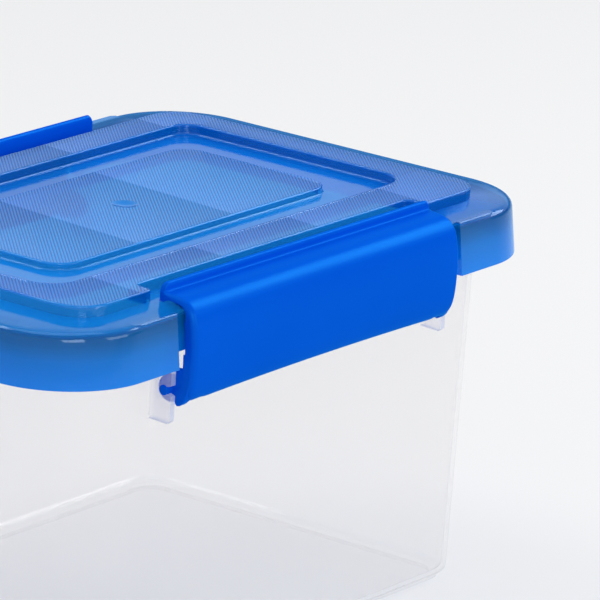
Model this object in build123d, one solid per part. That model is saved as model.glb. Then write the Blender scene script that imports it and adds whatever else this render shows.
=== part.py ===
from build123d import *
import os

# Latching storage tote: tapered tub, lift-off lid, and two latches that hinge on
# pegs in ears on the tub's long sides. Millimetres. Origin: centre of the
# footprint, on the ground. +Z up, +X along the long side. Front latch at -Y,
# back latch at +Y.
#
# Heights (h) are measured from the top of the lid's raised ring, so most are
# negative. Section points are (v, h), with v outward from |Y| = PLATFORM_Y.
# side is -1 at the front and 1 at the back; end is -1 at -X and 1 at +X.

RING_TOP = 190.0        # the stacking face, above the ground
SIDES = ENDS = (-1, 1)

# ------------------------------------------------------------ lid dimensions
# plans are (half X, half Y, corner radius)
SKIRT = SKIRT_X, SKIRT_Y, SKIRT_R = 173.4, 116.0, 43.5     # skirt's lower edge
CREST = CREST_X, CREST_Y, CREST_R = 171.2, 113.3, 41.3     # skirt at the flange
PLATFORM = PLATFORM_X, PLATFORM_Y, PLATFORM_R = 145.2, 96.0, 16.5
PANEL = (97.8, 44.2, 12.5)                                 # centre panel

# slab plans are (half X, front Y, back Y, front radius, back radius)
PLATFORM_SLAB = (PLATFORM_X, PLATFORM_Y, 87.2, PLATFORM_R, 20.0)
RING_X, RING_BACK_Y = 127.7, 67.0
RING_SLAB = (RING_X, 64.6, RING_BACK_Y, 15.5, 10.0)        # inner edge of the ring

FLANGE_IN_H = -5.2      # flange at the platform wall
CREST_H = -6.6          # flange at its outer edge
GROOVE_H = -4.9
PANEL_H = -1.4
SKIRT_H = -31.0
LID_T = 1.8             # lid wall
CREST_ROOM = 1.6        # extra drop of the cavity's outer shoulder
NOTCH_BACK = 10.0       # platform set back behind the front latch
NOTCH_HALF = 98.6
NOTCH_R = 4.0
STRIP_DROP = 0.14       # level strips below the flange's inner height
RECESS_HALF = 102.8     # skirt recess behind each latch
RECESS_V = 15.3         # outer face of the recessed skirt
RECESS_RISE = 6.2       # skirt is this much shorter there
CHEEK_T = 1.6           # wall closing each end of a recess
GATE_D, GATE_DEEP = 12.0, 1.0   # dished gate mark in the panel

# squared crest along the latch sides: (outward from CREST_Y, up from CREST_H)
CREST_BAR = [
    (-12.0, -3.0), (-12.0, 0.95), (-2.6, 0.28), (-0.4, 0.35),
    (0.0, 0.0), (0.28, -3.0), (0.55, -7.0), (-12.0, -7.0),
]

# ---------------------------------------------------------- latch dimensions
LATCH_HALF = 96.5
LATCH_BOTTOM = -48.2
END_WALL_T = 2.6
PIVOT_V, PIVOT_H = 9.8, -42.9
PEG_R = 2.30
PEG_FIT = 0.07          # radial running clearance
PEG_END = 100.9         # peg tip, in X
PEG_ROOT = 0.5          # peg overlap into the end wall
PEG_CHAMFER = 0.5
BOSS_R = 6.1

# latch section, (v, h)
WEB_TOP = (11.0, -1.62)     # where the top web meets the outer face
OUTER_FACE = [              # from the top down
    (13.8, -2.05), (16.5, -3.15), (18.8, -5.0), (20.5, -7.5), (21.65, -11.0),
    (22.45, -16.0), (22.9, -21.5), (23.0, -28.0), (22.6, -35.0), (21.8, -41.0),
    (21.0, -44.2), (19.8, -46.7), (18.2, -48.1), (16.4, -48.6),
]
INNER_FACE = [              # from the bottom up
    (16.2, -46.1), (17.5, -45.3), (18.3, -43.5), (19.1, -40.2), (20.0, -34.6),
    (20.4, -28.0), (20.3, -21.6), (19.9, -16.3), (19.1, -11.7), (18.2, -9.0),
    (16.9, -7.0), (15.2, -5.5), (13.2, -4.65), (11.0, -4.2),
]
BEAD = [                    # raised bead on the inner edge, going outward
    (1.7, 1.2), (1.95, 2.15), (2.55, 2.85), (3.3, 3.1), (4.1, 2.8),
    (4.6, 2.0), (4.7, 1.0), (4.65, 0.0), (4.85, -0.75), (5.5, -1.15),
]
BEAD_FOOT = (1.7, -5.05)
WEB_UNDERSIDE = [INNER_FACE[-1], (7.6, -3.85), (5.2, -4.5), (4.7, -5.15), BEAD_FOOT]
END_PLATE = [               # end wall that carries the pivot boss
    (16.4, -26.4), (21.0, -25.9), (21.2, -30.0), (20.9, -37.0), (19.8, -42.8),
    (18.6, -46.4), (16.4, -49.2), (14.6, -50.2), (12.8, -49.6), (9.8, -49.0),
    (9.8, -36.8), (12.4, -36.9), (12.5, -33.6), (16.5, -33.2),
]

# ------------------------------------------------------------ tub dimensions
TUB_T = 2.0
TUB_TOP = (150.4, 99.05, 20.0)      # outer wall below the rim
TUB_BOTTOM = (146.1, 94.7, 18.0)    # outer wall at the floor
FOOT_H, FOOT_IN, FOOT_W = 2.2, 4.0, 4.0
FLOOR_H = FOOT_H - RING_TOP         # underside of the floor
LID_GAP = 0.12
RIM_TOP = FLANGE_IN_H - LID_T - STRIP_DROP - LID_GAP
WALL_TOP = RIM_TOP - 1.8            # top of the tapered wall
RIM_V = 12.8                        # rim reach in Y
RIM_PLAN = (PLATFORM_X + RIM_V + 3.0, PLATFORM_Y + RIM_V, 38.0)
LEDGE_PLAN = (PLATFORM_X + 3.0, PLATFORM_Y + 0.4, 17.0)     # raised inner part
RIM_T = 1.8
RIM_LIP = 9.0                       # height of the rim's outer lip
# outer part of the rim, lowered to follow the slope of the lid's flange
RIM_OUT_H = RIM_TOP - ((FLANGE_IN_H - CREST_H) * RIM_V / (CREST_Y - PLATFORM_Y) + 0.1)
MOUTH_STEP = 1.5                    # mouth is this much smaller below the rim

EAR_IN, EAR_OUT = 97.2, 100.3       # ear plate, in X
EAR_V, EAR_LOW = 13.7, -57.5
EAR_ROOT_V = -4.0                   # ear starts inside the tub wall
SLOT_W = 3.0                        # snap-in slot beside the peg hole
SLOT_MOUTH = 5.6                    # the same slot near the ear's outer edge
EAR_OUTLINE = [
    (EAR_ROOT_V, EAR_LOW + 0.5), (EAR_V - 1.4, EAR_LOW - 0.3), (EAR_V, EAR_LOW + 1.1),
    (EAR_V, -28.4), (RIM_V - 0.9, -26.0), (RIM_V - 0.9, RIM_OUT_H - 1.0),
    (EAR_ROOT_V, RIM_OUT_H - 1.0),
]
SLOT_OUTLINE = [
    (PIVOT_V + 1.2, PIVOT_H - SLOT_W / 2), (EAR_V + 1, PIVOT_H - SLOT_MOUTH / 2),
    (EAR_V + 1, PIVOT_H + SLOT_MOUTH / 2), (PIVOT_V + 1.2, PIVOT_H + SLOT_W / 2),
]


# ------------------------------------------------------------------- helpers
def level(h):
    return RING_TOP + h


def inset(plan, distance):
    """Shrink every half size and radius of a plan; a negative distance grows it."""
    return tuple(size - distance for size in plan)


def rounded_rect(plan, h):
    half_x, half_y, radius = plan
    return Plane.XY.offset(level(h)) * RectangleRounded(2 * half_x, 2 * half_y, radius)


def prism(plan, h0, h1):
    return extrude(rounded_rect(plan, h0), amount=h1 - h0)


def slab(plan, h0, h1):
    """Prism with its own reach and corner radius at the front and at the back."""
    half_x, y_front, y_back, r_front, r_back = plan
    outline = Pos(0, (y_back - y_front) / 2) * Rectangle(2 * half_x, y_front + y_back)
    outline = fillet([v for v in outline.vertices() if v.Y < 0], radius=r_front)
    back = [v for v in outline.vertices()
            if v.Y > y_back - 0.01 and abs(abs(v.X) - half_x) < 0.01]
    outline = fillet(back, radius=r_back)
    return extrude(Plane.XY.offset(level(h0)) * outline, amount=h1 - h0)


def frustum(*rings):
    """Straight-sided loft through (plan, height) rings."""
    return loft([rounded_rect(plan, h) for plan, h in rings], ruled=True)


def block(x0, x1, y0, y1, h0, h1):
    """Box between two X and two Y positions, each pair in either order."""
    box = Box(abs(x1 - x0), abs(y1 - y0), h1 - h0)
    centre = Vector((x0 + x1) / 2, (y0 + y1) / 2, (level(h0) + level(h1)) / 2)
    return box.translate(centre)


def section_point(side, v, h):
    return (side * (PLATFORM_Y + v), level(h))


def section_points(side, points):
    return [section_point(side, v, h) for v, h in points]


def yz_polygon(points):
    return Plane.YZ * make_face(Polyline(points, close=True))


def pivot_circle(side, radius):
    return Plane.YZ * (Pos(*section_point(side, PIVOT_V, PIVOT_H)) * Circle(radius))


def line_chain(points):
    return [Line(a, b) for a, b in zip(points, points[1:])]


def move_to_end(shape, end, x_in, x_out):
    """Move a shape that starts at X = 0 to fill |X| from x_in to x_out."""
    return shape.translate(Vector(min(end * x_in, end * x_out), 0, 0))


def try_fillet(shape, edges, radii):
    """Fillet with the first radius that gives a valid shape with as many solids.

    The kernel may refuse a radius or find no edges; the shape then stays as is.
    """
    edges = list(edges)
    for radius in radii:
        try:
            out = fillet(edges, radius=radius)
            if out.is_valid and len(out.solids()) == len(shape.solids()):
                return out
        except Exception:
            continue
    return shape


def edges_at(shape, h, tol=0.05):
    """Edges that lie level at height h."""
    height = level(h)
    return [e for e in shape.edges()
            if abs(e.bounding_box().min.Z - height) < tol
            and abs(e.bounding_box().max.Z - height) < tol]


def smooth(points, steps=4):
    """Dense points on a centripetal Catmull-Rom curve through the points."""
    def reflect(a, b):
        return (2 * a[0] - b[0], 2 * a[1] - b[1])

    def gap(a, b):
        return max(((a[0] - b[0]) ** 2 + (a[1] - b[1]) ** 2) ** 0.25, 1e-6)

    def mix(t, a, b, ta, tb):
        return tuple(((tb - t) * i + (t - ta) * j) / (tb - ta) for i, j in zip(a, b))

    padded = [reflect(points[0], points[1]), *points, reflect(points[-1], points[-2])]
    out = []
    for i in range(len(padded) - 3):
        p0, p1, p2, p3 = padded[i:i + 4]
        t0 = 0.0
        t1 = t0 + gap(p0, p1)
        t2 = t1 + gap(p1, p2)
        t3 = t2 + gap(p2, p3)
        for k in range(steps):
            t = t1 + (t2 - t1) * k / steps
            a1 = mix(t, p0, p1, t0, t1)
            a2 = mix(t, p1, p2, t1, t2)
            a3 = mix(t, p2, p3, t2, t3)
            b1 = mix(t, a1, a2, t0, t2)
            b2 = mix(t, a2, a3, t1, t3)
            out.append(mix(t, b1, b2, t1, t2))
    out.append(tuple(points[-1]))
    return out


# ----------------------------------------------------------------------- lid
def lid_outer():
    """Solid skirt and flange, with a squared crest along the long sides."""
    base = frustum((SKIRT, SKIRT_H), (CREST, CREST_H))
    slope = frustum((CREST, CREST_H), (PLATFORM, FLANGE_IN_H))
    body = base + slope
    body = try_fillet(body, edges_at(body, CREST_H), (4.0, 3.0))
    straight = CREST_X - CREST_R
    for side in SIDES:
        bar = extrude(
            yz_polygon([(side * (CREST_Y + a), level(CREST_H + b)) for a, b in CREST_BAR]),
            amount=130.0, both=True)
        y_in, y_out = side * (CREST_Y - 5.6), side * (CREST_Y + 1.2)
        trim = Plane.XY.offset(level(CREST_H - 9)) * make_face(Polyline(
            [(-straight - 8, y_in), (-straight + 6, y_out),
             (straight - 6, y_out), (straight + 8, y_in)], close=True))
        body = body + (bar & extrude(trim, amount=12.0))
    return body


def lid_platform():
    """Raised platform with the notch behind the front latch."""
    platform = slab(PLATFORM_SLAB, FLANGE_IN_H - 1.6, 0.0)
    notch_y = PLATFORM_Y - NOTCH_BACK
    notch = block(-NOTCH_HALF, NOTCH_HALF, -notch_y, -(PLATFORM_Y + 8), FLANGE_IN_H - 3, 3)
    inner = [e for e in notch.edges().filter_by(Axis.Z)
             if abs(abs(e.center().Y) - notch_y) < 0.1]
    platform = platform - fillet(inner, radius=NOTCH_R)
    notch_ends = [e for e in platform.edges().filter_by(Axis.Z)
                  if abs(abs(e.center().X) - NOTCH_HALF) < 0.2
                  and abs(abs(e.center().Y) - PLATFORM_Y) < 0.2]
    platform = try_fillet(platform, notch_ends, (2.2, 1.5, 1.0))
    return try_fillet(platform, edges_at(platform, 0.0), (0.9, 0.7, 0.5))


def lid_pocket():
    """Space inside the ring: a groove around the centre panel."""
    pocket = slab(RING_SLAB, GROOVE_H, 4.0)
    island = prism(PANEL, GROOVE_H - 1, PANEL_H)
    island = try_fillet(island, edges_at(island, PANEL_H), (0.9, 0.6))
    pocket = pocket - island
    return try_fillet(pocket, edges_at(pocket, GROOVE_H), (1.0, 0.8, 0.6))


def lid_cavity():
    """Space under the lid, one wall thickness inside the outer faces."""
    t = LID_T
    shoulder = inset(CREST, t)
    shoulder_h = CREST_H - t - CREST_ROOM
    cavity = frustum((inset(SKIRT, t), SKIRT_H - 1), (shoulder, shoulder_h))
    cavity = cavity + frustum((shoulder, shoulder_h),
                              (inset(shoulder, 3.2), CREST_H - t - 0.1),
                              (inset(PLATFORM, t), FLANGE_IN_H - t))
    upper = slab(inset(PLATFORM_SLAB, t), FLANGE_IN_H - t - 1, -t)
    upper = upper - slab(inset(RING_SLAB, -t), GROOVE_H - t, 1)
    upper = upper + prism(inset(PANEL, t), GROOVE_H - t - 1, PANEL_H - t)
    upper = upper - block(-NOTCH_HALF - t, NOTCH_HALF + t,
                          -(PLATFORM_Y - NOTCH_BACK - t), -(PLATFORM_Y + 8),
                          FLANGE_IN_H - t - STRIP_DROP, 1)
    return cavity + upper


def add_latch_recess(body, side):
    """Set the skirt back behind a latch, with a cheek at each end."""
    face_y = side * (PLATFORM_Y + RECESS_V)
    back_y = side * (PLATFORM_Y + RECESS_V - LID_T)
    body = body - block(-RECESS_HALF, RECESS_HALF, face_y, side * (SKIRT_Y + 5),
                        SKIRT_H - 2, 2)
    body = body + block(-RECESS_HALF - 0.8, RECESS_HALF + 0.8, back_y, face_y,
                        SKIRT_H + RECESS_RISE, CREST_H - 0.4)
    for end in ENDS:
        cheek = block(end * RECESS_HALF, end * (RECESS_HALF + CHEEK_T),
                      back_y, side * (SKIRT_Y - 0.5), SKIRT_H, CREST_H - 0.6)
        body = body + (cheek & frustum(
            ((SKIRT_X - 0.1, SKIRT_Y - 0.1, SKIRT_R), SKIRT_H),
            ((CREST_X - 0.1, CREST_Y - 0.1, CREST_R), CREST_H)))
    return body


def make_lid():
    body = lid_outer()
    platform = lid_platform()
    # level strips along both long sides of the platform, out to the flange
    front_strip, back_strip = (
        block(-NOTCH_HALF - 4, NOTCH_HALF + 4,
              side * (PLATFORM_Y - NOTCH_BACK - 4), side * (PLATFORM_Y + 2.0),
              FLANGE_IN_H - 1.4, FLANGE_IN_H - STRIP_DROP)
        for side in SIDES)
    body = body + platform + (front_strip + back_strip)
    # fillet where the platform wall meets the flange
    wall_foot = [e for e in edges_at(body, FLANGE_IN_H, 0.2)
                 if abs(e.center().Y) > PLATFORM_Y - NOTCH_BACK - 3
                 or abs(e.center().X) > PLATFORM_X - 30]
    body = try_fillet(body, wall_foot, (1.0, 0.8, 0.6))

    body = body - lid_pocket()
    ring_edge = [e for e in edges_at(body, 0.0)
                 if abs(e.center().X) < RING_X + 1 and abs(e.center().Y) < RING_BACK_Y + 1]
    body = try_fillet(body, ring_edge, (0.9, 0.6))
    gate_r = ((GATE_D / 2) ** 2 + GATE_DEEP ** 2) / (2 * GATE_DEEP)
    gate_z = level(PANEL_H) + gate_r - GATE_DEEP
    body = body - Sphere(gate_r).translate(Vector(0, 0, gate_z))

    body = body - lid_cavity()
    for side in SIDES:
        body = add_latch_recess(body, side)
    return body


# --------------------------------------------------------------------- latch
def latch_section(side):
    def curve(points):
        return Spline(section_points(side, smooth(points)))

    def line(a, b):
        return Line(section_point(side, *a), section_point(side, *b))

    return Plane.YZ * make_face(Wire([
        line(BEAD_FOOT, BEAD[0]),
        curve(BEAD),
        line(BEAD[-1], WEB_TOP),
        curve([WEB_TOP] + OUTER_FACE),
        line(OUTER_FACE[-1], INNER_FACE[0]),
        curve(INNER_FACE),
        *line_chain(section_points(side, WEB_UNDERSIDE)),
    ]))


def latch_front_view():
    """Outline in X and Z: slight taper, rounded lower corners, arched lower edge."""
    bottom = level(LATCH_BOTTOM)
    arch_end = level(LATCH_BOTTOM - 0.35)
    arch_x = LATCH_HALF - 15.5
    corner_z = level(-41.5)

    def end_lines(end):
        top = (end * (LATCH_HALF + 1), level(8))
        waist = (end * LATCH_HALF, level(-24))
        corner_top = (end * (LATCH_HALF - 0.5), corner_z)
        corner_low = (end * (LATCH_HALF - 7.0), bottom)
        return [
            *line_chain([top, waist, corner_top]),
            TangentArc(corner_top, corner_low, tangent=(-end * 0.03, -1)),
            *line_chain([corner_low, (end * (LATCH_HALF - 11.5), bottom),
                         (end * arch_x, arch_end)]),
        ]

    arch = ThreePointArc((-arch_x, arch_end), (0, level(LATCH_BOTTOM + 1.1)),
                         (arch_x, arch_end))
    top_line = Line((LATCH_HALF + 1, level(8)), (-LATCH_HALF - 1, level(8)))
    return make_face(Wire([*end_lines(-1), arch, *reversed(end_lines(1)), top_line]))


def bead_end_cutter(side, end):
    """Rounds one end of the bead and leaves it a little short of the body."""
    x_in, x_mid = end * (LATCH_HALF - 4.2), end * (LATCH_HALF - 1.5)
    x_low, x_out = end * (LATCH_HALF - 0.6), end * (LATCH_HALF + 2)
    inner_top, curve_top = (x_in, level(6)), (x_in, level(3.15))
    curve_low = (x_low, level(-0.7))
    outline = make_face(Wire([
        *line_chain([inner_top, (x_out, level(6)), (x_out, level(-0.7)), curve_low]),
        Spline([curve_low, (x_mid, level(1.9)), curve_top],
               tangents=[(0, 1), (-end, 0.12)]),
        Line(curve_top, inner_top),
    ]))
    limit = block(-120, 120, side * (PLATFORM_Y + 0.5), side * (PLATFORM_Y + 8), -0.75, 8)
    return extrude(Plane.XZ * outline, amount=150.0, both=True) & limit


def outer_face_end_edges(body, side, end):
    """Edges at one end of the latch that follow its outer face."""
    profile = smooth([WEB_TOP] + OUTER_FACE, 6)

    def on_outer(edge):
        middle = edge.position_at(0.5)
        v, h = side * middle.Y - PLATFORM_Y, middle.Z - RING_TOP
        return min((v - a) ** 2 + (h - b) ** 2 for a, b in profile) < 0.35 ** 2

    return [e for e in body.edges()
            if abs(e.position_at(0.5).X) > 86 and 0.8 < e.length < 60
            and on_outer(e) and end * e.center().X > 0]


def make_peg(side, end):
    length = PEG_END - LATCH_HALF + PEG_ROOT
    tip_x = length if end > 0 else 0.0
    peg = extrude(pivot_circle(side, PEG_R), amount=length)
    tip = [e for e in peg.edges() if abs(e.center().X - tip_x) < 0.1]
    peg = chamfer(tip, length=PEG_CHAMFER)
    return move_to_end(peg, end, LATCH_HALF - PEG_ROOT, PEG_END)


def make_latch(side):
    body = extrude(latch_section(side), amount=LATCH_HALF, both=True)
    body = body & extrude(Plane.XZ * latch_front_view(), amount=150.0, both=True)
    for end in ENDS:
        body = body - bead_end_cutter(side, end)
    for end in ENDS:
        edges = outer_face_end_edges(body, side, end)
        body = try_fillet(body, edges, (2.0, 1.5, 1.2, 0.9, 0.6, 0.4))
    # end walls with bosses, then pegs
    for end in ENDS:
        plate = yz_polygon(section_points(side, END_PLATE)) + pivot_circle(side, BOSS_R)
        wall = extrude(plate, amount=END_WALL_T)
        body = body + move_to_end(wall, end, LATCH_HALF - END_WALL_T, LATCH_HALF)
        body = body + make_peg(side, end)
    return body


# ----------------------------------------------------------------------- tub
def make_rim():
    """Rolled rim, hollow underneath, with a raised inner ledge."""
    rim = prism(RIM_PLAN, RIM_OUT_H - RIM_LIP, RIM_OUT_H)
    rim = try_fillet(rim, edges_at(rim, RIM_OUT_H), (2.4, 1.6))
    rim = rim + prism(LEDGE_PLAN, RIM_OUT_H - 1, RIM_TOP - 0.02)
    return rim - prism(inset(RIM_PLAN, RIM_T), RIM_OUT_H - RIM_LIP - 1, RIM_OUT_H - RIM_T)


def make_ear(side, end):
    """Plate with a peg hole, and a slot open to its outer edge."""
    face = yz_polygon(section_points(side, EAR_OUTLINE))
    hole = pivot_circle(side, PEG_R + PEG_FIT)
    face = face - hole - yz_polygon(section_points(side, SLOT_OUTLINE))
    ear = move_to_end(extrude(face, amount=EAR_OUT - EAR_IN), end, EAR_IN, EAR_OUT)
    # small foot where the plate meets the wall
    return ear + block(end * EAR_IN, end * (EAR_OUT + 1.2),
                       side * (PLATFORM_Y + EAR_ROOT_V), side * (PLATFORM_Y + 2.6),
                       EAR_LOW + 0.2, EAR_LOW + 1.6)


def tub_inside():
    mouth = inset(TUB_TOP, TUB_T)
    floor_top = FLOOR_H + TUB_T
    inner = frustum((inset(TUB_BOTTOM, TUB_T), floor_top), (mouth, WALL_TOP))
    inner = try_fillet(inner, edges_at(inner, floor_top), (3.0, 2.0))
    inner = inner + prism(inset(mouth, MOUTH_STEP), RIM_TOP - 6, RIM_TOP + 3)
    return inner + prism(mouth, WALL_TOP - 0.1, RIM_TOP + 3)


def make_tub():
    outer = frustum((TUB_BOTTOM, FLOOR_H), (TUB_TOP, WALL_TOP))
    foot = prism(inset(TUB_BOTTOM, FOOT_IN), -RING_TOP, FLOOR_H + 1)
    foot = foot - prism(inset(TUB_BOTTOM, FOOT_IN + FOOT_W), -RING_TOP - 1, FLOOR_H)
    outer = try_fillet(outer, edges_at(outer, FLOOR_H), (4.0, 3.0, 2.0))
    body = outer + make_rim() + foot
    ears = make_ear(-1, -1) + make_ear(-1, 1) + make_ear(1, -1) + make_ear(1, 1)
    body = body + ears
    return body - tub_inside()


# -------------------------------------------------------------------- export
os.makedirs("parts", exist_ok=True)
pieces = {
    "lid": make_lid(),
    "front_latch": make_latch(-1),
    "back_latch": make_latch(1),
    "tub": make_tub(),
}
for name, shape in pieces.items():
    solids = shape.solids()
    piece = solids[0] if len(solids) == 1 else Compound(children=list(solids))
    export_step(piece, "parts/%s.step" % name)
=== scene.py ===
"""Lidded box: a clear tub, a tinted see-through lid and two blue snap latches.

The box stands on z = 0, centred on the Z axis. The latches run along X, the front one on
the -Y side and the back one on the +Y side. Lengths are in mm unless marked otherwise.
"""
import bpy, bmesh, math
import numpy as np
from contextlib import contextmanager
from mathutils import Vector, Matrix


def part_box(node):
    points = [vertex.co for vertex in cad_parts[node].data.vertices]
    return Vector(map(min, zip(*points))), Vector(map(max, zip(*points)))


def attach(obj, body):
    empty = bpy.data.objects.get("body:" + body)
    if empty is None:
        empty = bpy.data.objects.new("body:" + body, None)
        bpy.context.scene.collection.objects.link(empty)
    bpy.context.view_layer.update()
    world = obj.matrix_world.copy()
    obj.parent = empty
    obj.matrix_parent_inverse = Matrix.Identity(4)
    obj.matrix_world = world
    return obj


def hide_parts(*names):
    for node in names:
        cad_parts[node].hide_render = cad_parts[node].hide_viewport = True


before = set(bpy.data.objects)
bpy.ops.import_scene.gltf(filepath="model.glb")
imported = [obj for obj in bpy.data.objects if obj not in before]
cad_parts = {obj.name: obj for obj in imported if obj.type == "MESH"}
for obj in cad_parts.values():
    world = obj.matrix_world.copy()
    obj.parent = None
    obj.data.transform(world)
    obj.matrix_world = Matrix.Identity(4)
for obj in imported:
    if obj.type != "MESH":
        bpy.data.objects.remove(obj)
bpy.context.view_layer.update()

MM = 0.001                          # metres in a millimetre
LID_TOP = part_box("lid")[1].z        # top of the lid's ring, m
PLATFORM_Y = 96.0                   # wall of the lid's platform, both sides
LATCH_HALF = 96.5                   # half the length of a latch
RIDGE_PITCH = 1.4                   # ridges on the lid's flat tops
RIDGE_DEPTH = 0.12

scene = bpy.context.scene
scene.view_settings.view_transform = "Standard"
scene.view_settings.look = "None"
if hasattr(scene, "cycles"):        # absent when Cycles isn't enabled
    scene.cycles.transparent_max_bounces = 40      # many clear walls stand behind one another


# ------------------------------------------------------------------ node helpers
def srgb(*levels):
    """Linear colour from 0-255 sRGB levels."""
    return tuple(v / 12.92 if v <= 0.04045 else ((v + 0.055) / 1.055) ** 2.4
                 for v in (level / 255 for level in levels))


class Nodes:
    """Adds nodes to one tree. An input takes either a plain value or a socket to link."""

    def __init__(self, tree):
        self.tree = tree

    def feed(self, socket, source):
        if isinstance(source, bpy.types.NodeSocket):
            self.tree.links.new(source, socket)
        else:
            socket.default_value = source

    def add(self, kind, **settings):
        node = self.tree.nodes.new("ShaderNode" + kind)
        for key, value in settings.items():
            if key in node.inputs:
                self.feed(node.inputs[key], value)
            else:
                setattr(node, key, value)
        return node

    def make(self, kind, **settings):
        """Adds a node and returns its first output."""
        return self.add(kind, **settings).outputs[0]

    def calc(self, operation, *sources):
        node = self.add("Math", operation=operation)
        for socket, source in zip(node.inputs, sources):
            self.feed(socket, source)
        return node.outputs[0]

    def times(self, first, second):
        return self.calc("MULTIPLY", first, second)

    def linear(self, source, gain, offset):
        """source * gain + offset"""
        return self.calc("MULTIPLY_ADD", source, gain, offset)

    def mix(self, fac, first, second):
        node = self.add("MixShader")
        for socket, source in zip(node.inputs, (fac, first, second)):
            self.feed(socket, source)
        return node.outputs[0]

    def ramp(self, source, *stops):
        """Each stop is a position and a grey level or an RGB colour."""
        node = self.add("ValToRGB", Fac=source)
        elements = node.color_ramp.elements
        while len(elements) > 1:
            elements.remove(elements[-1])
        for index, (position, tone) in enumerate(stops):
            element = elements.new(position) if index else elements[0]
            element.position = position
            element.color = (*(tone if isinstance(tone, tuple) else (tone,) * 3), 1)
        return node.outputs["Color"]

    def object_coords(self):
        return self.add("TexCoord").outputs["Object"]

    def noise(self, scale, coords):
        return self.add("TexNoise", Scale=scale, Detail=2.0, Vector=coords).outputs["Fac"]

    def split(self, vector):
        return self.add("SeparateXYZ", Vector=vector).outputs

    def edge_on(self, power):
        """0 where a face is seen square on, 1 where it is seen edge on."""
        weight = self.add("LayerWeight", Blend=0.5)
        return self.calc("POWER", weight.outputs["Facing"], power)

    def schlick(self, head_on):
        """Reflectance that reads the same from both sides of a thin wall."""
        return self.linear(self.edge_on(power=5.0), gain=1.0 - head_on, offset=head_on)

    def scaled(self, colour, factor):
        return self.make("VectorMath", operation="SCALE", Vector=colour, Scale=factor)


def new_material(name):
    material = bpy.data.materials.new(name)
    material.use_nodes = True
    material.node_tree.nodes.clear()
    return material, Nodes(material.node_tree)


# --------------------------------------------------------------------- materials
def latch_material():
    material, nodes = new_material("latch_plastic")
    coords = nodes.object_coords()
    blue = nodes.ramp(nodes.noise(scale=14.0, coords=coords),
                      (0.3, srgb(0, 79, 208)), (0.7, srgb(0, 83, 213)))
    roughness = nodes.ramp(nodes.noise(scale=45.0, coords=coords), (0.3, 0.30), (0.75, 0.32))
    sheen = 0.62                    # share of the full reflectance
    surface = nodes.mix(nodes.times(nodes.schlick(head_on=0.06), sheen),
                        nodes.make("BsdfDiffuse", Color=blue),
                        nodes.make("BsdfGlossy", Color=(0.04, 0.55, 1.0, 1), Roughness=roughness))
    nodes.add("OutputMaterial", Surface=surface)
    return material


def ridge_wave(nodes, coords):
    """0..1 triangle wave across the ridges, in phase with the moulded ones."""
    per_metre = 1.0 / (math.sqrt(2) * RIDGE_PITCH * MM)
    dot = nodes.add("VectorMath", operation="DOT_PRODUCT", Vector=coords)
    dot.inputs[1].default_value = (per_metre, -per_metre, 0)
    return nodes.calc("PINGPONG", nodes.times(dot.outputs["Value"], 2.0), 1.0)


def shade_band_sawtooth(nodes, x, y):
    """0..1 ramp rising towards +X, repeated along the lid, for the painted shade bands."""
    spacing, start = 0.069, 0.0274          # m
    skew = -0.08                            # x shift per unit of y
    rim_y, rim_shift = 0.0605, -0.012       # beyond this |y| the bands are shifted, m
    rim = nodes.calc("GREATER_THAN", nodes.calc("ABSOLUTE", y), rim_y)
    shifted = nodes.linear(nodes.linear(y, gain=skew, offset=x).node.outputs[0], 1.0, 0.0) \
        if False else nodes.linear(y, gain=skew, offset=x)
    shifted = nodes.linear(rim, gain=rim_shift, offset=shifted)
    return nodes.calc("FRACT", nodes.linear(shifted, gain=1 / spacing,
                                            offset=2 - start / spacing))


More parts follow.
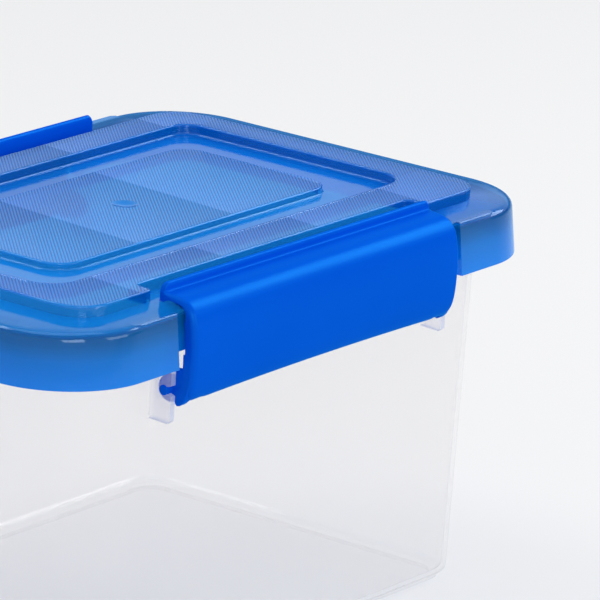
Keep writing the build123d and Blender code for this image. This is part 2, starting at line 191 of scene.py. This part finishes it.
def lid_material():
    material, nodes = new_material("lid_plastic")
    coords = nodes.object_coords()
    x, y, z = nodes.split(coords)
    geometry = nodes.add("NewGeometry")
    normal_z = nodes.split(geometry.outputs["True Normal"])["Z"]

    def above(drop):
        return nodes.calc("GREATER_THAN", z, LID_TOP - drop * MM)

    cloud = nodes.noise(scale=7.0, coords=coords)
    grain = nodes.noise(scale=500.0, coords=coords)
    body = nodes.ramp(cloud, (0.3, srgb(0, 160, 244)), (0.7, srgb(0, 166, 249)))
    clear = nodes.ramp(cloud, (0.3, (0.12, 0.57, 0.91)), (0.7, (0.15, 0.61, 0.94)))
    roughness = nodes.ramp(grain, (0.3, 0.06), (0.75, 0.10))
    bump = nodes.make("Bump", Strength=0.04, Distance=0.00004, Height=grain)

    # painted light and shade: light and dark lines on the ridged tops, in phase with the moulded
    # ridges
    level = nodes.calc("GREATER_THAN", nodes.calc("ABSOLUTE", normal_z), 0.975)
    tops = nodes.times(above(drop=1.75), level)
    ridges = nodes.times(tops, nodes.calc("SUBTRACT", ridge_wave(nodes, coords), 0.5))
    lines = nodes.linear(ridges, gain=0.85, offset=1.0)
    # painted shade just under the squared crest, and painted light towards the bottom of the
    # skirt; 0 top, 1 bottom
    shade_height = 0.031                    # m
    depth = nodes.linear(z, gain=-1 / shade_height, offset=LID_TOP / shade_height)
    crest_shade = nodes.ramp(depth, (0.22, 1), (0.27, 0.42), (0.40, 0.58), (0.60, 0.89), (1.0, 1.08))
    # painted shade: darker on the short upright walls
    upright = nodes.calc("SUBTRACT", 1.0, nodes.calc("ABSOLUTE", normal_z))
    wall_shade = nodes.linear(nodes.times(upright, above(drop=7.0)), gain=-0.42, offset=1.0)
    # broad faint bands of painted shade across the flat tops, each fading towards -X; tint holds
    # this painted shade, which darkens the body, the see-through colour and the reflection
    tint = nodes.times(shade_band_sawtooth(nodes, x, y), tops)
    top_gain = nodes.linear(tops, gain=0.05, offset=1.0)
    band_shade = nodes.linear(tint, gain=-0.25, offset=top_gain)
    gain = nodes.times(nodes.times(nodes.times(lines, crest_shade), wall_shade), band_shade)

    scatter = nodes.mix(
        0.55,                               # share of the light passed through
        nodes.make("BsdfDiffuse", Color=nodes.scaled(body, gain), Normal=bump),
        nodes.make("BsdfTranslucent", Color=nodes.scaled(body, gain)))
    # the skirt is cloudier than the flat top
    skirt = nodes.calc("LESS_THAN", z, LID_TOP - 8.5 * MM)
    inner = nodes.mix(nodes.linear(skirt, gain=0.36, offset=0.42),
                      nodes.make("BsdfTransparent", Color=nodes.scaled(clear, band_shade)), scatter)
    # inner faces of the wall reflect less, so the shell doesn't read as two mirrors
    facing_out = nodes.linear(geometry.outputs["Backfacing"], gain=-0.6, offset=1.0)
    reflection = nodes.times(nodes.schlick(head_on=0.04), facing_out)
    # painted highlight lines: the reflection follows the same ridge wave
    reflection = nodes.times(reflection, nodes.linear(ridges, gain=0.8, offset=1.0))
    # the painted shade bands dim the reflection as well
    reflection = nodes.times(reflection, nodes.linear(tint, gain=-0.33, offset=top_gain))
    gloss = nodes.make("BsdfGlossy", Color=(0.62, 0.80, 1.0, 1), Roughness=roughness, Normal=bump)
    nodes.add("OutputMaterial", Surface=nodes.mix(reflection, inner, gloss))
    return material


def clear_material(name, milk, tone, rim):
    """Clear plastic: milk is its cloudiness square on, rim what is added edge on."""
    material, nodes = new_material(name)
    cloud = nodes.noise(scale=5.0, coords=nodes.object_coords())
    roughness = nodes.ramp(cloud, (0.3, 0.05), (0.75, 0.09))
    tint = nodes.ramp(cloud, (0.3, (0.988, 0.985, 0.983)), (0.7, (0.993, 0.991, 0.989)))
    milk_colour = (*srgb(*tone), 1)
    scatter = nodes.mix(0.5,                # half thrown back, half passed through
                        nodes.make("BsdfDiffuse", Color=milk_colour),
                        nodes.make("BsdfTranslucent", Color=milk_colour))
    body = nodes.mix(nodes.linear(nodes.edge_on(power=3.0), gain=rim, offset=milk),
                     nodes.make("BsdfTransparent", Color=tint), scatter)
    sheen = 0.7                             # share of the full reflectance
    gloss = nodes.make("BsdfGlossy", Color=(1, 1, 1, 1), Roughness=roughness)
    surface = nodes.mix(nodes.times(nodes.schlick(head_on=0.02), sheen), body, gloss)
    nodes.add("OutputMaterial", Surface=surface)
    return material


LATCH_PLASTIC = latch_material()
LID_PLASTIC = lid_material()
TUB_PLASTIC = clear_material("tub_plastic", milk=0.045, tone=(231, 229, 230), rim=0.10)
EAR_PLASTIC = clear_material("tub_ear_plastic", milk=0.26, tone=(255, 251, 252), rim=0.08)
# painted light: the ears' edge faces take a lighter, bluer, cloudier copy of the clear plastic
EAR_EDGE_PAINTED_LIGHT = clear_material("tub_ear_edge_painted_light", milk=0.58, tone=(226, 233, 252),
                                  rim=0.15)


# ------------------------------------------------------------------ mesh helpers
@contextmanager
def editing(mesh):
    bm = bmesh.new()
    bm.from_mesh(mesh)
    yield bm
    bm.to_mesh(mesh)
    bm.free()


def add_object(name, mesh, *materials):
    piece = bpy.data.objects.new(name, mesh)
    scene.collection.objects.link(piece)
    mesh.materials.clear()
    for material in materials:
        mesh.materials.append(material)
    return piece


def cad_copy(node_name, name, *materials):
    """Copy of a CAD mesh without its imported normals."""
    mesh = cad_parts[node_name].data.copy()
    for key in ("custom_normal", "sharp_edge", "sharp_face"):
        if key in mesh.attributes:
            mesh.attributes.remove(mesh.attributes[key])
    return add_object(name, mesh, *materials)


def finish_piece(piece, body, replaced, sharp_angle):
    for polygon in piece.data.polygons:
        polygon.use_smooth = True
    piece.data.set_sharp_from_angle(angle=math.radians(sharp_angle))
    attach(piece, body)
    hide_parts(replaced)


def union(piece, part):
    """Merges part into piece and removes part."""
    modifier = piece.modifiers.new("u", "BOOLEAN")
    modifier.operation = "UNION"
    modifier.solver = "EXACT"
    modifier.object = part
    depsgraph = bpy.context.evaluated_depsgraph_get()
    depsgraph.update()
    merged = bpy.data.meshes.new_from_object(piece.evaluated_get(depsgraph))
    piece.modifiers.clear()
    old = piece.data
    piece.data = merged
    bpy.data.meshes.remove(old)
    bpy.data.objects.remove(part)


def smooth_curve(points, steps):
    """Centripetal Catmull-Rom curve through the points, with steps pieces to each span."""
    points = np.array(points, float)
    padded = np.vstack([2 * points[0] - points[1], points, 2 * points[-1] - points[-2]])
    curve = []
    for p0, p1, p2, p3 in zip(padded, padded[1:], padded[2:], padded[3:]):
        t0 = 0.0
        t1 = t0 + max(np.linalg.norm(p0 - p1) ** 0.5, 1e-6)
        t2 = t1 + max(np.linalg.norm(p1 - p2) ** 0.5, 1e-6)
        t3 = t2 + max(np.linalg.norm(p2 - p3) ** 0.5, 1e-6)
        for k in range(steps):
            t = t1 + (t2 - t1) * k / steps

            def mix(a, b, start, end):
                return ((end - t) * a + (t - start) * b) / (end - start)

            a1, a2, a3 = mix(p0, p1, t0, t1), mix(p1, p2, t1, t2), mix(p2, p3, t2, t3)
            b1, b2 = mix(a1, a2, t0, t2), mix(a2, a3, t1, t3)
            curve.append(tuple(mix(b1, b2, t1, t2)))
    return curve + [tuple(points[-1])]


def arc(centre, radius, start, end, count):
    return [(centre[0] + radius * math.cos(math.radians(angle)),
             centre[1] + radius * math.sin(math.radians(angle)))
            for angle in np.linspace(start, end, count)]


# ------------------------------------------------------------------------ latches
# Latch points are (v, h): v outwards from the platform wall, h upwards from the lid's top.
LIP = [(1.7, -4.7), (1.7, -3.2), (1.7, -1.6), (1.7, 0.0)]
BEAD = [(1.7, 1.2), (1.95, 2.15), (2.55, 2.85), (3.3, 3.1), (4.1, 2.8), (4.6, 2.0), (4.7, 1.0),
        (4.65, 0.0), (4.85, -0.75), (5.5, -1.15)]
OUTER = [(11.0, -1.62), (13.8, -2.05), (16.5, -3.15), (18.8, -5.0), (20.5, -7.5),
         (21.65, -11.0), (22.45, -16.0), (22.9, -21.5), (23.0, -28.0), (22.6, -35.0),
         (21.8, -41.0), (21.0, -44.2), (19.8, -46.7), (18.2, -48.1), (16.4, -48.6)]
INNER = [(16.2, -46.1), (17.5, -45.3), (18.3, -43.5), (19.1, -40.2), (20.0, -34.6),
         (20.4, -28.0), (20.3, -21.6), (19.9, -16.3), (19.1, -11.7), (18.2, -9.0),
         (16.9, -7.0), (15.2, -5.5), (13.2, -4.65), (11.0, -4.2)]
UNDERSIDE = [(9.5, -4.05), (8.4, -3.9), (7.4, -3.95), (6.3, -4.2), (5.4, -4.6), (4.9, -5.0),
             (4.4, -5.15), (3.2, -5.12), (2.1, -5.06)]
EDGE_CENTRE, EDGE_RADIUS = (16.35, -47.35), 1.25    # rounded lower edge of the face

PIVOT = (9.8, -42.9)
END_WALL = [(16.4, -26.6), (16.8, -26.3), (21.0, -26.0), (21.3, -30.0), (21.0, -36.0),
            (20.2, -41.0), (18.9, -45.0), (17.6, -47.6), (16.5, -49.0), (15.4, -49.9),
            (14.4, -50.2), (13.7, -50.0), (13.2, -49.4),
            *arc(PIVOT, 6.1, -62, -294, 40),
            (12.45, -36.7), (12.45, -34.0), (12.9, -33.4), (16.0, -33.1), (16.4, -32.6)]
FOOT = [(13.0, -47.0), (13.4, -49.6), (14.4, -50.15), (15.4, -49.85), (16.6, -48.95),
        (17.8, -47.7), (18.9, -45.6), (19.7, -43.0), (18.2, -42.6), (17.2, -44.8), (15.0, -46.2)]
PEG = arc(PIVOT, 2.3, 0, 360, 49)[:-1]
# outline, |x| of its near and far faces, bevel
END_PARTS = [(END_WALL, LATCH_HALF - 2.6, LATCH_HALF - 0.12, 0.3),
             (FOOT, LATCH_HALF - 4.6, LATCH_HALF - 0.5, 0.5),
             (PEG, LATCH_HALF - 1.5, 100.9, 0.35)]

ROLL_RADIUS = 2.7                   # rounding of the outer face at each end
# distances from the latch's end of the sections past the rolled end
STATIONS = [3.2, 3.8, 4.5, 5.2, 6.0, 6.8, 8.0, 9.5, 11.0, 12.0, 13.0, 14.0, 15.0, 16.0, 18.0,
            22.0, 28.0, 36.0, 46.0, 58.0, 72.0, 84.0]


def place(x, v, h, side):
    return (x * MM, side * (PLATFORM_Y + v) * MM, LID_TOP + h * MM)


def latch_section():
    """Closed loop: lip, bead, top, face, lower edge, inside, underside.

    Returns the points, 1 where they are on the outer skin, and how far each one
    takes part in the rolled ends.
    """
    def run(points, outer, roll):
        return [(*point, outer, roll) for point in points]

    lip_roll = 0.35
    rows = run(LIP + smooth_curve(BEAD, 4)[:-1], 1, lip_roll)
    (v0, h0), (v1, h1) = BEAD[-1], OUTER[0]
    for k in range(5):
        t = k / 5
        rows.append((v0 + (v1 - v0) * t, h0 + (h1 - h0) * t, 1, lip_roll + (1 - lip_roll) * t))
    rows += run(smooth_curve(OUTER, 6)[:-1], 1, 1.0)
    for angle in np.linspace(0, 180, 7):
        rows.append((EDGE_CENTRE[0] - EDGE_RADIUS * math.sin(math.radians(angle)),
                     EDGE_CENTRE[1] - EDGE_RADIUS * math.cos(math.radians(angle)),
                     int(angle < 90), 0.6))
    rows += run(smooth_curve(INNER, 5)[1:], 0, 1.0)
    rows += run(UNDERSIDE, 0, 0.0)
    table = np.array(rows)
    return table[:, :2], table[:, 2], table[:, 3]


def clamp(value):
    return min(max(value, 0.0), 1.0)


def round_over(distance, radius):
    """How far a quarter round stands back at a distance from its end."""
    rest = max(radius - distance, 0.0)
    return radius - math.sqrt(max(radius ** 2 - rest ** 2, 0.0))


def shape_section(x, points, normals, outer, roll):
    """The latch's section at x, with its ends rolled and its lower edge shaped."""
    from_end = LATCH_HALF - abs(x)
    # rolled outer face, and a thicker wall close to the end
    inset = round_over(from_end, ROLL_RADIUS)
    thicken = 2.9 * max(0.0, 1 - from_end / 5.0) ** 2
    wall = np.clip((-6.0 - points[:, 1]) / 6.0, 0, 1) * np.clip((points[:, 1] + 48.0) / 5.0, 0, 1)
    shaped = (points - normals * (inset * roll * outer)[:, None]
              + normals * (thicken * (1 - outer) * wall * roll)[:, None])
    # the bead rounds down to a sliver at its end
    bead_foot = BEAD[-1][1]
    swell = math.sqrt(max(1 - (1 - clamp((from_end - 0.5) / 2.9)) ** 2, 0.0))
    bead = (points[:, 0] < 5.4) & (shaped[:, 1] > bead_foot)
    shaped[bead, 1] = bead_foot + (shaped[bead, 1] - bead_foot) * (0.06 + 0.94 * swell)
    # lower edge: rounded corners, small lip between them, gentle arch
    drawn_edge, bend_top = -48.6, -32.0
    step = clamp((from_end - 11.0) / 4.0)
    edge = -48.2 + round_over(from_end, radius=6.0)
    edge -= 0.4 * step * step * (3 - 2 * step)
    edge += 1.4 * (1 - (x / LATCH_HALF) ** 2)
    bend = np.clip((bend_top - shaped[:, 1]) / (bend_top - drawn_edge), 0, 1.05)
    shaped[:, 1] += (edge - drawn_edge) * bend ** 2
    return shaped


def latch_skin(name, side):
    points, outer, roll = latch_section()
    tangents = np.roll(points, -1, 0) - np.roll(points, 1, 0)
    tangents /= np.linalg.norm(tangents, axis=1)[:, None]
    normals = np.stack([-tangents[:, 1], tangents[:, 0]], 1)       # outward
    distances = [ROLL_RADIUS * (1 - math.cos(math.radians(90 * k / 12))) for k in range(13)]
    distances += STATIONS
    xs = [-LATCH_HALF + d for d in distances] + [0.0]
    xs += [LATCH_HALF - d for d in reversed(distances)]

    verts, rings, faces = [], [], []
    count = len(points)
    for x in xs:
        rings.append(range(len(verts), len(verts) + count))
        section = shape_section(x, points, normals, outer, roll)
        verts += [place(x, v, h, side) for v, h in section]
    for a, b in zip(rings, rings[1:]):
        for k in range(count):
            after = (k + 1) % count
            faces.append((a[k], a[after], b[after], b[k]))
    faces += [tuple(rings[0]), tuple(reversed(rings[-1]))]

    mesh = bpy.data.meshes.new(name)
    mesh.from_pydata(verts, [], faces)
    mesh.validate()
    skin = add_object(name, mesh, LATCH_PLASTIC)
    with editing(mesh) as bm:
        bmesh.ops.recalc_face_normals(bm, faces=bm.faces)
    with editing(mesh) as bm:
        bmesh.ops.triangulate(bm, faces=[f for f in bm.faces if len(f.verts) > 4])
    return skin


def prism(outline, x0, x1, side, bevel):
    """Closed (v, h) outline extruded along X, with the edges of both ends softened."""
    mesh = bpy.data.meshes.new("latch_part")
    with editing(mesh) as bm:
        low = [bm.verts.new(place(x0, v, h, side)) for v, h in outline]
        high = [bm.verts.new(place(x1, v, h, side)) for v, h in outline]
        bm.faces.new(low)
        bm.faces.new(list(reversed(high)))
        for k in range(len(outline)):
            after = (k + 1) % len(outline)
            bm.faces.new((low[after], low[k], high[k], high[after]))
        bmesh.ops.recalc_face_normals(bm, faces=bm.faces)
        rims = [e for e in bm.edges if e.verts[0].co.x == e.verts[1].co.x]
        bmesh.ops.bevel(bm, geom=rims, offset=bevel * MM, segments=3, profile=0.5,
                        affect="EDGES", clamp_overlap=True)
    return add_object("latch_part", mesh, LATCH_PLASTIC)


def build_latch(body, side):
    latch = latch_skin(body + "_moulding", side)
    for end in (-1, 1):
        for outline, near, far, bevel in END_PARTS:
            x0, x1 = sorted((end * near, end * far))
            union(latch, prism(outline, x0, x1, side, bevel))
    finish_piece(latch, body, body, sharp_angle=32)


build_latch("front_latch", side=-1)
build_latch("back_latch", side=1)

# ---------------------------------------------------------------------------- lid
RIDGE_MARGIN = 0.9                  # plain border round a ridged top
# height, then the |x| and |y| limits of the face centres that are ridged, all m
RIDGED_TOPS = [(LID_TOP, math.inf, math.inf), (LID_TOP - 1.4 * MM, 0.0985, 0.045)]


def cut_ridges(bm, faces):
    """Cuts flat faces along diagonal lines and lowers every other line."""
    bmesh.ops.inset_region(bm, faces=faces, thickness=RIDGE_MARGIN * MM, depth=0.0,
                           use_even_offset=True, use_boundary=True)
    region = {f for f in faces if f.is_valid}
    across = Vector((1, -1, 0)).normalized()
    step = RIDGE_PITCH * MM / 2

    def reach(faces):
        places = [v.co.dot(across) for f in faces for v in f.verts]
        return min(places), max(places)

    low, high = reach(region)
    for k in range(int(math.floor(low / step)) + 1, int(math.ceil(high / step))):
        line = k * step
        crossed = []
        for f in region:
            start, end = reach([f])
            if start < line - 1e-7 and end > line + 1e-7:
                crossed.append(f)
        if not crossed:
            continue
        geom = set(crossed)
        for f in crossed:
            geom.update(f.verts)
            geom.update(f.edges)
        cut = bmesh.ops.bisect_plane(bm, geom=list(geom), dist=1e-7, plane_co=across * line,
                                     plane_no=across)
        region = {f for f in region if f.is_valid}
        region.update(g for g in cut["geom"] if isinstance(g, bmesh.types.BMFace) and g.is_valid)
    for v in {v for f in region for v in f.verts}:
        phase = (v.co.dot(across) / step) % 2.0
        v.co.z -= RIDGE_DEPTH * MM * abs(phase - 1)        # lowest on the even lines


def build_lid():
    lid = cad_copy("lid", "lid_moulding", LID_PLASTIC)
    with editing(lid.data) as bm:
        for layer in list(bm.loops.layers.uv):
            bm.loops.layers.uv.remove(layer)
        bmesh.ops.remove_doubles(bm, verts=bm.verts, dist=2e-6)
        for height, limit_x, limit_y in RIDGED_TOPS:
            faces = []
            for f in bm.faces:
                centre = f.calc_center_median()
                if (f.normal.z > 0.9999 and abs(centre.z - height) < 2e-5
                        and abs(centre.x) < limit_x and abs(centre.y) < limit_y):
                    faces.append(f)
            if faces:
                cut_ridges(bm, faces)
        bmesh.ops.dissolve_degenerate(bm, dist=1e-7, edges=bm.edges)
    finish_piece(lid, "tote", "lid", sharp_angle=30)


build_lid()

# ---------------------------------------------------------------------------- tub
EAR_X = (96.9, 100.6)               # |x| range of the ears beside the latches
EAR_Y = PLATFORM_Y + 2.2            # they lie beyond this |y|
EAR_Z = (129.5, 160.5)


def build_tub():
    tub = cad_copy("tub", "tub_moulding", TUB_PLASTIC, EAR_PLASTIC, EAR_EDGE_PAINTED_LIGHT)
    with editing(tub.data) as bm:
        bmesh.ops.remove_doubles(bm, verts=bm.verts, dist=2e-6)
        for f in bm.faces:
            x, y, z = f.calc_center_median() / MM
            ear = EAR_X[0] < abs(x) < EAR_X[1] and abs(y) > EAR_Y and EAR_Z[0] < z < EAR_Z[1]
            # edge faces of the ears take the painted-light copy
            f.material_index = 0 if not ear else (1 if abs(f.normal.x) > 0.5 else 2)
    finish_piece(tub, "tote", "tub", sharp_angle=30)


build_tub()

# the CAD meshes take the same plastics
for node_name, plastic in (("tub", TUB_PLASTIC), ("lid", LID_PLASTIC),
                           ("front_latch", LATCH_PLASTIC), ("back_latch", LATCH_PLASTIC)):
    cad_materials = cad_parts[node_name].data.materials
    cad_materials.clear()
    cad_materials.append(plastic)


# -------------------------------------------------------------------------- stage
def build_floor():
    bpy.ops.mesh.primitive_plane_add(size=14, location=(0, 0, -0.0003))
    floor = bpy.context.object
    floor.name = "floor"
    material, nodes = new_material("floor_mat")
    grey = nodes.ramp(nodes.noise(scale=2.0, coords=nodes.object_coords()),
                      (0.3, (0.85, 0.85, 0.852)), (0.7, (0.865, 0.865, 0.866)))
    # the glow is weaker in the light it throws on the box
    diffuse_ray = nodes.add("LightPath").outputs["Is Diffuse Ray"]
    glow = nodes.make("Emission", Color=(0.90, 0.90, 0.902, 1),
                      Strength=nodes.linear(diffuse_ray, gain=-0.45, offset=1.0))
    glow_share = 0.65
    surface = nodes.mix(glow_share, nodes.make("BsdfDiffuse", Color=grey), glow)
    nodes.add("OutputMaterial", Surface=surface)
    floor.data.materials.append(material)


def build_world():
    world = bpy.data.worlds.new("w")
    scene.world = world
    world.use_nodes = True
    nodes = Nodes(world.node_tree)
    x, _, z = nodes.split(nodes.add("TexCoord").outputs["Generated"])
    sky = nodes.ramp(z, (0.0, (0.84, 0.84, 0.845)), (0.30, (0.855, 0.855, 0.86)),
                     (0.55, (0.60, 0.63, 0.68)), (1.0, (0.40, 0.44, 0.52)))
    ray = nodes.add("LightPath").outputs
    # reflections see a darker strip just above the horizon, on the +X side only
    strip = nodes.ramp(z, (0.0, 0.45), (0.03, 0.16), (0.17, 0.16), (0.235, 1))
    side = nodes.ramp(x, (0.22, 0), (0.42, 1))
    dimming = nodes.times(nodes.calc("SUBTRACT", strip, 1.0), side)
    strength = nodes.linear(dimming, gain=ray["Is Glossy Ray"], offset=1.0)
    strength = nodes.linear(ray["Is Diffuse Ray"], gain=-0.42, offset=strength)
    background = world.node_tree.nodes["Background"]
    nodes.feed(background.inputs["Color"], sky)
    nodes.feed(background.inputs["Strength"], strength)


# name, place (m), target (m), width and height (m), power (W)
LIGHTS = [
    ("key", (1.62, -0.55, 1.25), (0, 0, 0.15), (0.9, 0.9), 17),
    ("front", (0.55, -2.0, 0.7), (0, 0, 0.12), (1.1, 0.8), 9),
    ("back", (-0.40, 1.25, 1.75), (0, 0, 0.17), (0.8, 0.6), 10),
    ("fill", (-1.3, -1.65, 0.75), (0, 0, 0.14), (0.9, 0.8), 12),
    ("top", (0.1, 0.3, 1.9), (0, 0, 0.15), (1.6, 1.2), 8),
]


def build_lights():
    for name, location, target, (width, height), power in LIGHTS:
        light = bpy.data.lights.new(name, "AREA")
        light.shape = "RECTANGLE"
        light.size, light.size_y = width, height
        light.energy = power
        lamp = bpy.data.objects.new(name, light)
        lamp.location = location
        aim = Vector(target) - Vector(location)
        lamp.rotation_euler = aim.to_track_quat("-Z", "Y").to_euler()
        scene.collection.objects.link(lamp)


def build_camera(azimuth, elevation, roll, distance, shift_right, shift_up, lens):
    """Looks along a line through the centre of the lid's top, then shifts sideways.

    Azimuth turns from -Y towards +X. Angles are in degrees, lengths in m, the lens in mm.
    """
    azimuth, elevation, roll = (math.radians(v) for v in (azimuth, elevation, roll))
    outward = Vector((math.sin(azimuth) * math.cos(elevation),
                      -math.cos(azimuth) * math.cos(elevation), math.sin(elevation)))
    level_right = (-outward).cross(Vector((0, 0, 1))).normalized()
    level_up = level_right.cross(-outward)
    right = math.cos(roll) * level_right + math.sin(roll) * level_up
    up = -math.sin(roll) * level_right + math.cos(roll) * level_up
    data = bpy.data.cameras.new("cam")
    data.sensor_width = 36.0
    data.lens = lens
    data.clip_end = 50
    camera = bpy.data.objects.new("cam", data)
    pose = Matrix((right, up, outward)).transposed().to_4x4()
    pose.translation = (Vector((0, 0, LID_TOP)) + outward * distance
                        + right * shift_right + up * shift_up)
    camera.matrix_world = pose
    scene.collection.objects.link(camera)
    scene.camera = camera


build_floor()
build_world()
build_lights()
build_camera(azimuth=-53.2329, elevation=16.7154, roll=2.9571, distance=2.6964351,
             shift_right=0.0791543, shift_up=-0.0447993, lens=358.035252)
